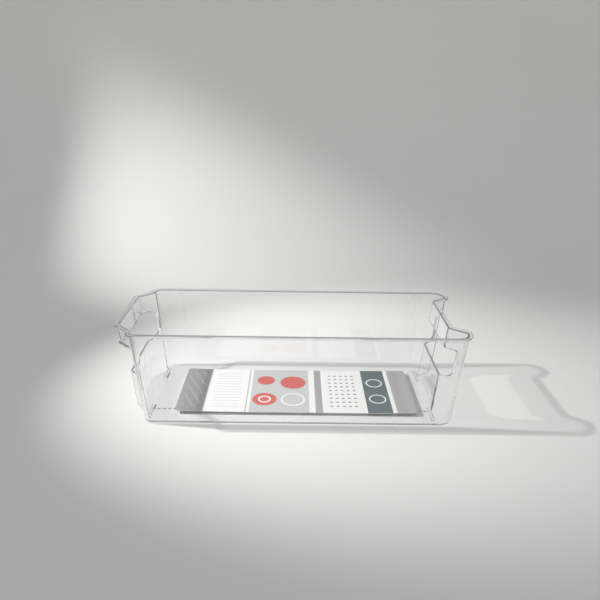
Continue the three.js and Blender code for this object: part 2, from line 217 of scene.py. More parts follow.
class Moulding:
    """The moulding's plan outlines and sections, worked out from its sizes."""

    def __init__(self, size, top, bottom):
        self.size = size
        self.top = top
        self.base_z = bottom + size.foot_height
        self.floor_z = self.base_z + size.floor
        self.plate_z = top - size.plate
        self.sill_z = self.plate_z - size.opening

    def corners(self, z):
        """The outer face's twelve plan corners at height z, anticlockwise, with their radii."""
        size = self.size
        drop = (self.top - z) / (self.top - self.base_z + size.foot_height)
        end_x = size.length / 2 - size.end_lean * drop
        side_y = size.width / 2 - size.side_lean * drop
        root_x = size.bulge_depth - end_x
        face_x = root_x - self.bulge_depth(z)
        root_y = size.width / 2 - size.bulge_shoulder - size.bulge_root_lean * drop
        face_y = size.width / 2 - size.bulge_shoulder - size.bulge_slant - size.bulge_face_lean * drop
        recess_x = end_x - size.recess_depth
        mouth_y = size.width / 2 - size.nose_width + size.recess_lean * drop
        recess_y = mouth_y - size.recess_slant
        bulge, recess, small = size.bulge_corner, size.recess_corner, size.small_corner
        return [
            (root_x, -side_y, bulge), (end_x, -side_y, recess), (end_x, -mouth_y, small),
            (recess_x, -recess_y, small), (recess_x, recess_y, small), (end_x, mouth_y, small),
            (end_x, side_y, recess), (root_x, side_y, bulge), (root_x, root_y, small),
            (face_x, face_y, small), (face_x, -face_y, small), (root_x, -root_y, small),
        ]

    def bulge_depth(self, z):
        """How far the bulge stands out at height z: its grip plate stands out past the wall below."""
        size = self.size
        heights = (self.base_z - size.foot_height, self.sill_z, self.plate_z)
        depths = (size.bulge_base_depth, size.bulge_sill_depth, size.bulge_depth)
        return float(np.interp(z, heights, depths))

    @lru_cache(maxsize=None)
    def plan(self, z, out):
        """The outline that stands a distance outside the wall at height z, as points in the plane."""
        corners = self.corners(z)
        spots = np.array([corner[:2] for corner in corners])
        into = spots - np.roll(spots, 1, axis=0)
        into /= np.linalg.norm(into, axis=1)[:, None]
        away = np.roll(into, -1, axis=0)
        turn = np.arctan2(
            into[:, 0] * away[:, 1] - into[:, 1] * away[:, 0], np.sum(into * away, axis=1)
        )
        right = np.stack([into[:, 1], -into[:, 0]], axis=1)
        moved = spots + out * right + (out * np.tan(turn / 2))[:, None] * into
        radius = np.array([corner[2] for corner in corners]) + np.sign(turn) * out
        radius = np.maximum(radius, LEAST_RADIUS)
        reach = radius * np.tan(np.abs(turn) / 2)
        edge = np.linalg.norm(np.roll(moved, -1, axis=0) - moved, axis=1) * CORNER_ROOM_SHARE
        room = np.minimum(1, edge / (reach + np.roll(reach, -1)))
        fit = np.minimum(room, np.roll(room, 1))
        points = []
        for i, steps in enumerate(CORNER_STEPS):
            side = np.sign(turn[i])
            start = moved[i] - into[i] * reach[i] * fit[i]
            spoke = right[i] * side * radius[i] * fit[i]
            for step in range(steps + 1):
                angle = turn[i] * step / steps
                cos, sin = math.cos(angle), math.sin(angle)
                turned = (spoke[0] * cos - spoke[1] * sin, spoke[0] * sin + spoke[1] * cos)
                points.append(start - spoke + turned)
        points.append(points[0])
        return np.array(points)

    def crossing(self, z, out, end, y):
        """Where an end's outline passes y: a fractional place in the ring, and X."""
        first, last = END_RUNS[end]
        run = self.plan(z, out)[first:last + 1]
        ahead = run[:, 1] * end >= y * end
        i = max(int(np.argmax(ahead)) - 1, 0)
        (x0, y0), (x1, y1) = run[i], run[i + 1]
        share = (y - y0) / (y1 - y0)
        return first + i + share, x0 + (x1 - x0) * share


def quarter(steps):
    """Sine and cosine at even steps of a quarter turn."""
    return [(math.sin(t), math.cos(t)) for t in (math.pi / 2 * i / steps for i in range(steps + 1))]


def band(first, second):
    """Quads between two closed rings."""
    return list(zip(first, [*first[1:], first[0]], [*second[1:], second[0]], second))


def add_faces(mesh, faces):
    for face in faces:
        mesh.faces.new(face)


def add_grid(mesh, rows):
    """Quads between open rows."""
    for first, second in zip(rows, rows[1:]):
        add_faces(mesh, zip(first, first[1:], second[1:], second))


def ring_edges(mesh, ring):
    return [mesh.edges.get(pair) for pair in zip(ring, [*ring[1:], ring[0]])]


class HandOpening:
    """One opening's outline in Y and Z, which cuts straight along X."""

    def __init__(self, form, end, half_width, radius):
        self.end = end
        self.half = half_width
        self.low_radius = radius
        self.high_radius = form.size.opening_top
        self.low = form.sill_z
        self.high = form.plate_z

    def arc_levels(self, grown):
        """Heights of the corners' points on the outline grown by a distance."""
        low = self.low + self.low_radius
        high = self.high - self.high_radius
        heights = [low - (self.low_radius + grown) * c for s, c in quarter(ARC_STEPS)]
        return heights + [high + (self.high_radius + grown) * s for s, c in quarter(ARC_STEPS)]

    def side(self, z, grown):
        """Half width and outward direction of the outline, grown by a distance, at height z."""
        low = self.low + self.low_radius
        high = self.high - self.high_radius
        if z < low:
            radius, centre, height = self.low_radius, self.half - self.low_radius, z - low
        elif z > high:
            radius, centre, height = self.high_radius, self.half - self.high_radius, z - high
        else:
            return self.half + grown, 1.0, 0.0
        sin = max(-1.0, min(1.0, height / (radius + grown)))
        cos = math.sqrt(1 - sin * sin)
        return centre + (radius + grown) * cos, cos, sin


class Skin:
    """The moulding's closed skin: a stack of rows up the outside, over the rim and down the inside."""

    def __init__(self, form, openings):
        self.form = form
        self.openings = openings
        self.bulge_opening = openings[0]
        self.points = []
        self.faces = []
        self.loops = {}
        self.levels = self.opening_levels()

    def opening_levels(self):
        """Heights of the rows that the openings cut, with the corner points of both on them."""
        grown = self.form.size.cut_round
        wanted = {z for opening in self.openings for z in opening.arc_levels(grown)}
        low = max(o.low + o.low_radius for o in self.openings)
        high = self.form.plate_z - self.form.size.opening_top
        wanted |= {low + (high - low) * i / STRAIGHT_STEPS for i in range(STRAIGHT_STEPS)}
        ends = (min(wanted), max(wanted))
        kept = [ends[0]]
        for z in sorted(wanted):
            if z - kept[-1] > LEVEL_GAP and ends[1] - z > LEVEL_GAP:
                kept.append(z)
        return kept + [ends[1]]

    def add(self, x, y, z):
        self.points.append((x, y, z))
        return len(self.points) - 1

    def stitch(self, first, second):
        """Faces between two runs of (place, point), quads where the places agree."""
        i = j = 0
        while i + 1 < len(first) or j + 1 < len(second):
            next_first = first[i + 1][0] if i + 1 < len(first) else math.inf
            next_second = second[j + 1][0] if j + 1 < len(second) else math.inf
            take_first = next_first <= next_second + SAME_PLACE
            take_second = next_second <= next_first + SAME_PLACE
            face = [first[i][1]]
            if take_first:
                i += 1
                face.append(first[i][1])
            if take_second:
                face += [second[j + 1][1], second[j][1]]
                j += 1
            else:
                face.append(second[j][1])
            self.faces.append(face)

    def ring(self, plan, z):
        """A whole ring of points, as a run of (place, point) that ends where it starts."""
        ids = [self.add(x, y, z) for x, y in plan[:-1]]
        return [(place, ids[place % RING_SIZE]) for place in range(RING_SIZE + 1)]

    def stack(self, section):
        """Rings along a section of (out, z), each stitched to the next."""
        rows = [self.ring(self.form.plan(z, out), z) for out, z in section]
        for first, second in zip(rows, rows[1:]):
            self.stitch(first, second)
        return rows

    def cut_row(self, z, out):
        """A ring that both openings cut: its four edge points, and the run on each long side."""
        whole = self.ring(self.form.plan(z, out), z)
        edges = {}
        for opening in self.openings:
            half = opening.side(z, self.form.size.cut_round)[0]
            for side in (-1, 1):
                place, x = self.form.crossing(z, out, opening.end, side * half)
                edges[opening.end, side] = (place, self.add(x, side * half, z))
        far = self.between(whole, edges[RECESS_END, 1], edges[BULGE_END, 1])
        wrapped = whole[:-1] + [(place + RING_SIZE, point) for place, point in whole]
        place, point = edges[RECESS_END, -1]
        near = self.between(wrapped, edges[BULGE_END, -1], (place + RING_SIZE, point))
        return SimpleNamespace(z=z, out=out, edges=edges, far=far, near=near)

    @staticmethod
    def between(run, start, end):
        """The part of a run between two spots, with those spots at its ends."""
        low, high = start[0] + SAME_PLACE, end[0] - SAME_PLACE
        return [start, *[spot for spot in run if low < spot[0] < high], end]

    def opening_block(self, out, outside):
        """The rows beside the openings, with the loop round each opening kept for its cut face.

        Returns the first and the last row as whole rings.
        """
        rows = [self.cut_row(z, out) for z in self.levels]
        for lower, upper in zip(rows, rows[1:]):
            first, second = (lower, upper) if outside else (upper, lower)
            self.stitch(first.far, second.far)
            self.stitch(first.near, second.near)
        closings = (rows[0], rows[-1])
        level_edges = [{o.end: self.level_edge(row, o) for o in self.openings} for row in closings]
        for end in (BULGE_END, RECESS_END):
            sill, head = [[point for place, point in edges[end]] for edges in level_edges]
            left, right = [[row.edges[end, side][1] for row in rows[1:-1]] for side in (-1, 1)]
            self.loops[end, outside] = sill + right + head[::-1] + left[::-1]
        return [self.closed_run(row, edges) for row, edges in zip(closings, level_edges)]

    def level_edge(self, row, opening):
        """The opening's level edge on a row, from -Y to +Y."""
        half = opening.side(row.z, self.form.size.cut_round)[0]
        first, last = END_RUNS[opening.end]
        outline = self.form.plan(row.z, 0.0)[first:last + 1]
        inner_ys = sorted(y for x, y in outline if abs(y) < half - LEVEL_GAP)
        spots = [row.edges[opening.end, -1]]
        for y in inner_ys:
            place, x = self.form.crossing(row.z, row.out, opening.end, y)
            spots.append((place, self.add(x, y, row.z)))
        spots.append(row.edges[opening.end, 1])
        return spots

    @staticmethod
    def closed_run(row, edges):
        """The whole of an end row: its two long runs, joined by the openings' level edges."""
        near_start = [(place, point) for place, point in row.near if place <= RING_SIZE]
        near_end = [(place - RING_SIZE, point) for place, point in row.near if place >= RING_SIZE]
        bulge = edges[BULGE_END][::-1]
        return near_end + edges[RECESS_END][1:] + row.far[1:] + bulge[1:] + near_start[1:]

    def build(self):
        """Rows in order: base edge, outer wall, lip, rim, inner wall and floor edge.

        Returns the first and the last row, which are left for the caps.
        """
        size, form = self.form.size, self.form
        under = form.top - size.lip_height
        wall, lip, base = size.wall, size.lip_width, size.base_round
        edge, crown, inside = size.lip_round, size.lip_crown, size.rim_round
        low = [(base * (s - 1), form.base_z + base * (1 - c)) for s, c in quarter(BASE_STEPS)]
        base_rows = self.stack(low)
        outer_low, outer_high = self.opening_block(0.0, True)
        beaded = self.bead_rows(outer_high)
        self.stitch(base_rows[-1], outer_low)
        top = [(0.0, under)]
        top += [(lip - edge * (1 - s), under + edge * (1 - c)) for s, c in quarter(LIP_STEPS)]
        top += [(lip - crown * (1 - c), form.top - crown * (1 - s)) for s, c in quarter(LIP_STEPS)]
        top += [(-wall + inside * (1 - s), form.top - inside * (1 - c)) for s, c in quarter(LIP_STEPS)]
        rim_rows = self.stack(top)
        self.stitch(beaded, rim_rows[0])
        inner_low, inner_high = self.opening_block(-wall, False)
        self.stitch(rim_rows[-1], inner_high)
        inner = base - wall
        foot = [(-wall - inner * (1 - c), form.floor_z + inner * (1 - s)) for s, c in quarter(BASE_STEPS)]
        floor_rows = self.stack(foot)
        self.stitch(inner_low, floor_rows[0])
        for opening in self.openings:
            self.cut_face(opening)
        return base_rows[0], floor_rows[-1]

    def bead_rows(self, head):
        """Rows over the bead on the bulge's grip plate, from the row over the openings to the last."""
        size, form = self.form.size, self.form
        half = self.bulge_opening.half - size.bead_end_gap
        start = self.levels[-1]
        full_ends = [(side * half, True) for side in (-1, 1)]
        flat_ends = [(side * (half + BEAD_END_SLOPE), False) for side in (-1, 1)]
        ends = full_ends + flat_ends
        places = [form.crossing(start, 0.0, BULGE_END, y)[0] for y, raised in ends]
        last = head
        for share in BEAD_SHARES:
            z = start + size.bead_height * share
            out = size.bead_width * math.sin(math.pi * share) ** BEAD_FULLNESS
            flat, full = form.plan(z, 0.0), form.plan(z, out)
            on_plate = (np.abs(flat[:, 1]) <= half) & (flat[:, 0] * BULGE_END > 0)
            row = self.ring(np.where(on_plate[:, None], full, flat), z)
            for place, (y, raised) in zip(places, ends):
                x = form.crossing(z, out if raised else 0.0, BULGE_END, y)[1]
                row.append((place, self.add(x, y, z)))
            row.sort(key=lambda spot: spot[0])
            self.stitch(last, row)
            last = row
        return last

    def cut_face(self, opening):
        """The face of the cut through the wall, with rounded edges on both sides."""
        size = self.form.size
        outer = self.loops[opening.end, True]
        profile = [(size.cut_round * s, size.cut_round * (1 - c)) for s, c in quarter(ROUND_STEPS)[1:]]
        profile += [(shrink, size.wall - depth) for shrink, depth in reversed(profile)]
        loops = [outer]
        for shrink, depth in profile:
            loops.append([self.sunk_point(opening, i, shrink, depth) for i in outer])
        loops.append(self.loops[opening.end, False])
        for first, second in zip(loops, loops[1:]):
            self.faces += band(first, second)

    def sunk_point(self, opening, index, shrink, depth):
        """A point of the outer outline, drawn in by shrink and set into the wall by depth."""
        x, y, z = self.points[index]
        half, cos, sin = opening.side(z, self.form.size.cut_round)
        if abs(y) < half - LEVEL_GAP / 2:
            cos, sin = 0.0, 1.0 if z > (opening.low + opening.high) / 2 else -1.0
        new_y = y - math.copysign(cos, y) * shrink
        new_z = z - sin * shrink
        new_x = self.form.crossing(new_z, -depth, opening.end, new_y)[1]
        return self.add(new_x, new_y, new_z)


def flat_cap(mesh, ring, margin, holes):
    """Closes a ring with a flat margin and a filled middle, which leaves the holes open."""
    add_faces(mesh, band(ring, margin))
    edges = ring_edges(mesh, margin) + holes
    bmesh.ops.triangle_fill(mesh, edges=edges, use_beauty=True, use_dissolve=False)


RIB_SLOPE_STEPS = 6
# A rib's slope: shares of its width and of its height
RIB_SLOPE_SHARES = [
    (i / RIB_SLOPE_STEPS, (1 - math.cos(math.pi * i / RIB_SLOPE_STEPS)) / 2)
    for i in range(RIB_SLOPE_STEPS + 1)
]
PANEL_LIFT_SHARE = 0.3
FOOT_STEPS = 10
FOOT_EDGE_STEPS = 6
FOOT_EDGE = 0.9 * MM
FOOT_ROOT = 1.7 * MM


def ribbed_panel(mesh, size, floor_z):
    """The ribbed panel as a fine grid. Returns its border edges, which lie flat on the floor."""
    low_x = -size.length / 2 + size.panel_bulge_inset
    high_x = size.length / 2 - size.panel_recess_inset
    half_y = size.width / 2 - size.panel_side_inset
    count = int((high_x - low_x) / size.rib_pitch + SAME_PLACE)
    middle = (low_x + high_x) / 2
    slope = (size.rib_foot - size.rib_top) / 2
    across = [(-size.rib_foot / 2 + slope * t, rise) for t, rise in RIB_SLOPE_SHARES]
    across += [(-x, rise) for x, rise in reversed(across)]
    columns = [(low_x, 0.0)]
    for rib in range(count):
        x = middle + size.rib_pitch * (rib - (count - 1) / 2)
        columns += [(x + dx, PANEL_LIFT_SHARE + (1 - PANEL_LIFT_SHARE) * rise) for dx, rise in across]
    columns.append((high_x, 0.0))
    rows = [(-half_y + slope * t, rise) for t, rise in RIB_SLOPE_SHARES]
    rows += [(-half_y / 3, 1.0), (half_y / 3, 1.0)]
    rows += [(half_y - slope * t, rise) for t, rise in reversed(RIB_SLOPE_SHARES)]
    grid = [
        [mesh.verts.new((x, y, floor_z + size.rib_height * up * rise)) for x, up in columns]
        for y, rise in rows
    ]
    add_grid(mesh, grid)
    border = [*grid[0], *[row[-1] for row in grid[1:-1]], *reversed(grid[-1])]
    border += [row[0] for row in reversed(grid[1:-1])]
    return ring_edges(mesh, border)


def capsule_foot(mesh, size, x, y, bottom):
    """One closed capsule that stands below the base and reaches up into the floor."""
    straight = (size.foot_length - size.foot_width) / 2
    rings = [(FOOT_EDGE * (s - 1), bottom + FOOT_EDGE * (1 - c)) for s, c in quarter(FOOT_EDGE_STEPS)]
    rings.append((0.0, bottom + size.foot_height + FOOT_ROOT))
    made = []
    for out, z in rings:
        radius = size.foot_width / 2 + out
        ring = []
        for side in (1, -1):
            for step in range(FOOT_STEPS + 1):
                angle = math.pi * step / FOOT_STEPS + (0 if side == 1 else math.pi)
                spot = (x + radius * math.cos(angle), y + side * straight + radius * math.sin(angle), z)
                ring.append(mesh.verts.new(spot))
        made.append(ring)
    for lower, upper in zip(made, made[1:]):
        add_faces(mesh, band(lower, upper))
    add_faces(mesh, (made[0][::-1], made[-1]))


SHARP_ANGLE = 42
WEIGHTED_SHARE = 100


def finished_object(mesh, name):
    """A bmesh as a smooth-shaded object. Raises if it isn't closed."""
    bmesh.ops.recalc_face_normals(mesh, faces=mesh.faces[:])
    loose = [edge for edge in mesh.edges if len(edge.link_faces) != 2]
    if loose:
        raise RuntimeError(f"{name} isn't closed: {len(loose)} edges lack two faces")
    data = bpy.data.meshes.new(name)
    mesh.to_mesh(data)
    mesh.free()
    piece = bpy.data.objects.new(name, data)
    bpy.context.scene.collection.objects.link(piece)
    smooth(piece)
    return piece


def smooth(piece):
    """Smooth shading with sharp edges past an angle."""
    piece.data.polygons.foreach_set("use_smooth", [True] * len(piece.data.polygons))
    piece.data.set_sharp_from_angle(angle=math.radians(SHARP_ANGLE))


def bin_shell(form):
    """The shell with its openings and ribbed floor, as one closed piece."""
    size = form.size
    bulge_half = size.width / 2 - size.bulge_shoulder - size.bulge_setback
    recess_half = size.width / 2 - size.nose_width - size.recess_setback
    skin = Skin(form, [
        HandOpening(form, BULGE_END, bulge_half, size.bulge_radius),
        HandOpening(form, RECESS_END, recess_half, size.recess_radius),
    ])
    first_row, last_row = skin.build()
    mesh = bmesh.new()
    verts = [mesh.verts.new(point) for point in skin.points]
    add_faces(mesh, ([verts[i] for i in face] for face in skin.faces))
    out = -size.base_round - CAP_MARGIN
    for run, z in ((first_row, form.base_z), (last_row, form.floor_z)):
        ring = [verts[point] for place, point in run[:-1]]
        margin = [mesh.verts.new((x, y, z)) for x, y in form.plan(z, out)[:-1]]
        holes = ribbed_panel(mesh, size, z) if z == form.floor_z else []
        flat_cap(mesh, ring, margin, holes)
    unused = [vert for vert in mesh.verts if not vert.link_faces]
    bmesh.ops.delete(mesh, geom=unused, context="VERTS")
    return finished_object(mesh, "bin_moulding")


def bin_feet(size, bottom):
    """The four feet near the corners of the base, as one piece."""
    mesh = bmesh.new()
    foot_x = size.length / 2 - size.end_lean - size.recess_depth - size.foot_end_inset
    foot_y = size.width / 2 - size.side_lean - size.foot_side_inset - size.foot_length / 2
    for x in (-foot_x, foot_x):
        for y in (-foot_y, foot_y):
            capsule_foot(mesh, size, x, y, bottom)
    return finished_object(mesh, "bin_feet")


def moulded_bin(size, top, bottom):
    """The whole moulding in one closed mesh: shell, openings, ribbed floor and feet."""
    piece = bin_shell(Moulding(size, top, bottom))
    feet = bin_feet(size, bottom)
    join = piece.modifiers.new("feet", "BOOLEAN")
    join.operation = "UNION"
    join.solver = "EXACT"
    join.object = feet
    flatten = piece.modifiers.new("flat_faces", "WEIGHTED_NORMAL")
    flatten.mode = "FACE_AREA"
    flatten.weight = WEIGHTED_SHARE
    flatten.keep_sharp = True
    evaluated = piece.evaluated_get(bpy.context.evaluated_depsgraph_get())
    joined = bpy.data.meshes.new_from_object(evaluated)
    piece.modifiers.clear()
    piece.data = joined
    bpy.data.objects.remove(feet)
    return piece


class Wire:
    """A socket that Python sums work on. Each operator adds its own Math node."""

    def __init__(self, graph, socket):
        self.graph = graph
        self.socket = socket

    def other(self, name):
        """Another output of the same node."""
        return Wire(self.graph, self.socket.node.outputs[name])

    def __add__(self, value):
        return self.graph.math("ADD", self, value)

    def __sub__(self, value):
        return self.graph.math("SUBTRACT", self, value)

    def __rsub__(self, value):
        return self.graph.math("SUBTRACT", value, self)

    def __mul__(self, value):
        return self.graph.math("MULTIPLY", self, value)

    def __truediv__(self, value):
        return self.graph.math("DIVIDE", self, value)

    def __pow__(self, value):
        return self.graph.math("POWER", self, value)

    def __gt__(self, value):
        return self.graph.math("GREATER_THAN", self, value)

    def __lt__(self, value):
        return self.graph.math("LESS_THAN", self, value)

    __radd__ = __add__
    __rmul__ = __mul__


class Graph:
    """Builds one node tree."""

    def __init__(self, owner):
        owner.use_nodes = True
        self.tree = owner.node_tree
        self.tree.nodes.clear()

    def node(self, kind, settings=None, sockets=None, output=0):
        """Adds a node: its settings first, then the values or wires of its sockets."""
        made = self.tree.nodes.new(kind)
        for name, value in (settings or {}).items():
            if name == "stops":
                self.set_stops(made.color_ramp, value)
            else:
                setattr(made, name, value)
        for name, value in (sockets or {}).items():
            if isinstance(value, Wire):
                self.tree.links.new(value.socket, made.inputs[name])
            else:
                made.inputs[name].default_value = value
        return Wire(self, made.outputs[output]) if len(made.outputs) else made

    @staticmethod
    def set_stops(ramp, stops):
        while len(ramp.elements) < len(stops):
            ramp.elements.new(1.0)
        for element, (position, value) in zip(ramp.elements, stops):
            element.position = position
            element.color = (*value, 1.0)

    def math(self, operation, *values):
        return self.node("ShaderNodeMath", {"operation": operation}, dict(enumerate(values)))

    def place(self):
        """The place on the piece and its X, Y and Z, in metres."""
        spot = self.node("ShaderNodeTexCoord", output="Object")
        x = self.node("ShaderNodeSeparateXYZ", sockets={0: spot})
        return SimpleNamespace(spot=spot, x=x, y=x.other("Y"), z=x.other("Z"))

    def mix(self, factor, first, second):
        """One colour turning into another."""
        sockets = {0: factor, 6: as_rgba(first), 7: as_rgba(second)}
        return self.node("ShaderNodeMix", {"data_type": "RGBA"}, sockets, output=2)

    def shaders(self, factor, first, second):
        """One shader turning into another."""
        return self.node("ShaderNodeMixShader", sockets={0: factor, 1: first, 2: second})

    def noise(self, spot, grain):
        return self.node("ShaderNodeTexNoise", sockets={"Vector": spot, **grain})

    def streaks(self, spot, scales, grain):
        """Noise with its axes scaled one by one."""
        scaled = self.node("ShaderNodeVectorMath", {"operation": "MULTIPLY"}, {0: spot, 1: scales})
        return self.noise(scaled, grain)

    def bump(self, height, depth):
        return self.node("ShaderNodeBump", sockets={"Height": height, **depth})


def as_rgba(value):
    return value if isinstance(value, Wire) else (*value, 1.0)


WAVES = {"Scale": 26.0, "Detail": 1.0}
WAVE_SHARE = 0.7
FLOW = {"Scale": 1.0, "Detail": 2.0}
FLOW_SCALES = (9.0, 9.0, 60.0)
SCUFFS = {"Scale": 1.0, "Detail": 3.0, "Roughness": 0.6}
SCUFF_SCALES = (40.0, 900.0, 900.0)
SCUFF_START = 0.62
SCUFF_ROUGHNESS = 0.35
POLISH = {"Strength": 0.25, "Distance": 0.35 * MM}
EVEN_BLEND = 0.5
GRAZE_POWER = 5.0
SLOPE_POWER = 0.25
RIM_SHADE_HEIGHT = 3 * MM
# Halfway between counts: past two reflections a ray is let out, and dimmed only the first time
STRAY_REFLECTIONS = 2.5
FIRST_WAY_OUT = 0.5
BASE_MARGIN = 0.1 * MM
BASE_FACING = 0.4


def clear_plastic(finish, base_z, rim_z):
    """Polished clear plastic with faint flow waves and scuffs.

    Lamps shine through it, less where a face is upright, edge-on or on the rim. A ray that keeps
    reflecting inside a wall, or meets the base at a low angle from inside, is let out and dimmed.
    """
    material = bpy.data.materials.new("clear_plastic")
    graph = Graph(material)
    place = graph.place()
    waves = graph.noise(place.spot, WAVES)
    flow = graph.streaks(place.spot, FLOW_SCALES, FLOW)
    scuffs = graph.streaks(place.spot, SCUFF_SCALES, SCUFFS)
    worn = graph.math("MAXIMUM", scuffs - SCUFF_START, 0.0) * SCUFF_ROUGHNESS
    height = waves * WAVE_SHARE + flow * (1 - WAVE_SHARE)
    plastic = graph.node("ShaderNodeBsdfPrincipled", sockets={
        "Base Color": as_rgba(finish.tint),
        "Roughness": worn + finish.roughness,
        "IOR": finish.refraction,
        "Transmission Weight": 1.0,
        "Normal": graph.bump(height, POLISH),
    })
    through = graph.node("ShaderNodeBsdfTransparent", sockets={"Color": as_rgba(finish.shadow_tint)})
    let_out = graph.node("ShaderNodeBsdfTransparent", sockets={"Color": as_rgba(finish.stray_tint)})
    facing = graph.node("ShaderNodeLayerWeight", sockets={"Blend": EVEN_BLEND}, output="Facing")
    normal = graph.node("ShaderNodeNewGeometry", output="True Normal")
    level = graph.node("ShaderNodeSeparateXYZ", sockets={0: normal}).other("Z") ** 2.0
    stopped = facing ** GRAZE_POWER * finish.graze_shade
    stopped += (1 - level) ** SLOPE_POWER * finish.wall_shade
    stopped += (place.z > rim_z) * finish.rim_shade
    shadow_ray = graph.node("ShaderNodeLightPath", output="Is Shadow Ray")
    trapped = shadow_ray.other("Glossy Depth") > STRAY_REFLECTIONS
    already_out = shadow_ray.other("Transparent Depth") > FIRST_WAY_OUT
    stray = graph.shaders(trapped, plastic, graph.shaders(already_out, let_out, through))
    met_base = (place.z < base_z + BASE_MARGIN) * (facing > BASE_FACING)
    at_base = graph.shaders(met_base, plastic, let_out)
    reflected = graph.shaders(shadow_ray.other("Is Reflection Ray"), plastic, stray)
    seen = graph.shaders(shadow_ray.other("Is Transmission Ray"), reflected, at_base)
    unlit = graph.shaders(shadow_ray.other("Is Diffuse Ray"), seen, through)
    lit = graph.shaders(shadow_ray * (1 - stopped), plastic, through)
    surface = graph.shaders(shadow_ray, unlit, lit)
    depth = graph.node("ShaderNodeVolumeAbsorption", sockets={
        "Color": as_rgba(finish.depth_tint), "Density": finish.depth_density,
    })
    graph.node("ShaderNodeOutputMaterial", sockets={"Surface": surface, "Volume": depth})
    return material


CARD_STATIONS = 60
CARD_CORNER_STEPS = 10
CARD_ROWS = 12
BOW_POWER = 4


def card_sheet(card, low, high):
    """The card as a thin closed sheet that bows up towards its ends, with rounded corners."""
    middle = (low.x + high.x) / 2
    half = (high.x - low.x) / 2
    half_y = (high.y - low.y) / 2
    arc = [card.corner * (1 - c) for s, c in quarter(CARD_CORNER_STEPS)[:-1]]
    inner = half - card.corner
    run = [inner * (2 * i / CARD_STATIONS - 1) for i in range(CARD_STATIONS + 1)]
    stations = [-half + step for step in arc] + run + [half - step for step in reversed(arc)]
    shares = [2 * j / CARD_ROWS - 1 for j in range(CARD_ROWS + 1)]
    mesh = bmesh.new()
    borders = []
    for lift in (0.0, card.thickness):
        grid = []
        for x in stations:
            past = max(abs(x) - inner, 0.0)
            width = half_y - card.corner + math.sqrt(max(card.corner ** 2 - past ** 2, 0.0))
            z = low.z + card.bow * (x / half) ** BOW_POWER + lift
            grid.append([mesh.verts.new((middle + x, width * share, z)) for share in shares])
        add_grid(mesh, grid)
        near = [row[0] for row in grid]
        far = [row[-1] for row in reversed(grid)]
        borders.append(near + grid[-1][1:-1] + far + grid[0][-2:0:-1])
    add_faces(mesh, band(*borders))
    return finished_object(mesh, "printed_card_sheet")


class Print:
    """Flat printed figures, as masks over millimetres from the card's near left corner."""

    def __init__(self, graph, low):
        place = graph.place()
        self.graph = graph
        self.spot = place.spot
        self.x = (place.x - low.x) / MM
        self.y = (place.y - low.y) / MM

    def box(self, x0, y0, x1, y1):
        return (self.x > x0) * (self.x < x1) * ((self.y > y0) * (self.y < y1))

    def reach_squared(self, x, y):
        dx, dy = self.x - x, self.y - y
        return dx * dx + dy * dy

    def disc(self, x, y, radius):
        return self.reach_squared(x, y) < radius * radius

    def ring(self, x, y, radius, line):
        reach = self.reach_squared(x, y)
        return (reach < radius * radius) * (reach > (radius - line) ** 2)

    def lines(self, axis, start, pitch, half_width):
        """Evenly spaced lines across an axis."""
        shifted = (axis - start) / pitch
        away = self.graph.math("ABSOLUTE", shifted - self.graph.math("ROUND", shifted))
        return away * pitch < half_width


# The print's size and its boxes (left, near, right and far), in millimetres
PRINT_LENGTH = 231.2
PRINT_DEPTH = 85
SHADED_END = (0, 0, 26, PRINT_DEPTH)
SLASHED_BOX = (4, 8, 22, 77)
LINED_BOX = (33, 8, 60, 77)
THIN_RULE = (66, 0, 67.2, PRINT_DEPTH)
FIGURE_PANEL = (70, 0, 128, PRINT_DEPTH)
SHADED_BAND = (134, 0, 141, PRINT_DEPTH)
DOTTED_BOX = (147, 8, 178, 77)
INK_BLOCK = (184, 0, 208, PRINT_DEPTH)
FAR_END = (212, 0, PRINT_LENGTH, PRINT_DEPTH)
# Round figures: place and radius
ACCENT_DISCS = ((84, 24, 12), (84, 62, 9), (112, 58, 13))
PANEL_RINGS = ((112, 24, 12), (84, 24, 6.5))
BLOCK_RINGS = ((196, 26, 8.5), (196, 58, 8.5))
PANEL_RING_LINE = 1.8
BLOCK_RING_LINE = 1.3
# Repeated marks: first place, spacing and half width
SLASHES = (2.0, 9.0, 1.2)
FINE_LINES = (4.0, 5.5, 0.45)
DOTS_ACROSS = (150.0, 6.0, 1.4)
DOTS_ALONG = (12.0, 7.6, 0.8)
SLASH_SLANT = 0.5
SLASH_STRENGTH = 0.6
LINE_STRENGTH = 0.55
PANEL_STRENGTH = 0.75
FAR_END_STRENGTH = 0.85
MOTTLE_STRENGTH = 0.06
SHADING = {"Scale": 1.0, "Detail": 2.0}
SHADING_SCALES = (60.0, 4.0, 1.0)
MOTTLE = {"Scale": 45.0, "Detail": 2.0}
FIBRE = {"Scale": 900.0, "Detail": 4.0, "Roughness": 0.6}
FIBRE_DEPTH = {"Strength": 0.25, "Distance": 0.06 * MM}
FIBRE_ROUGHNESS = 0.12
CARD_ROUGHNESS = 0.36
CARD_IOR = 1.5


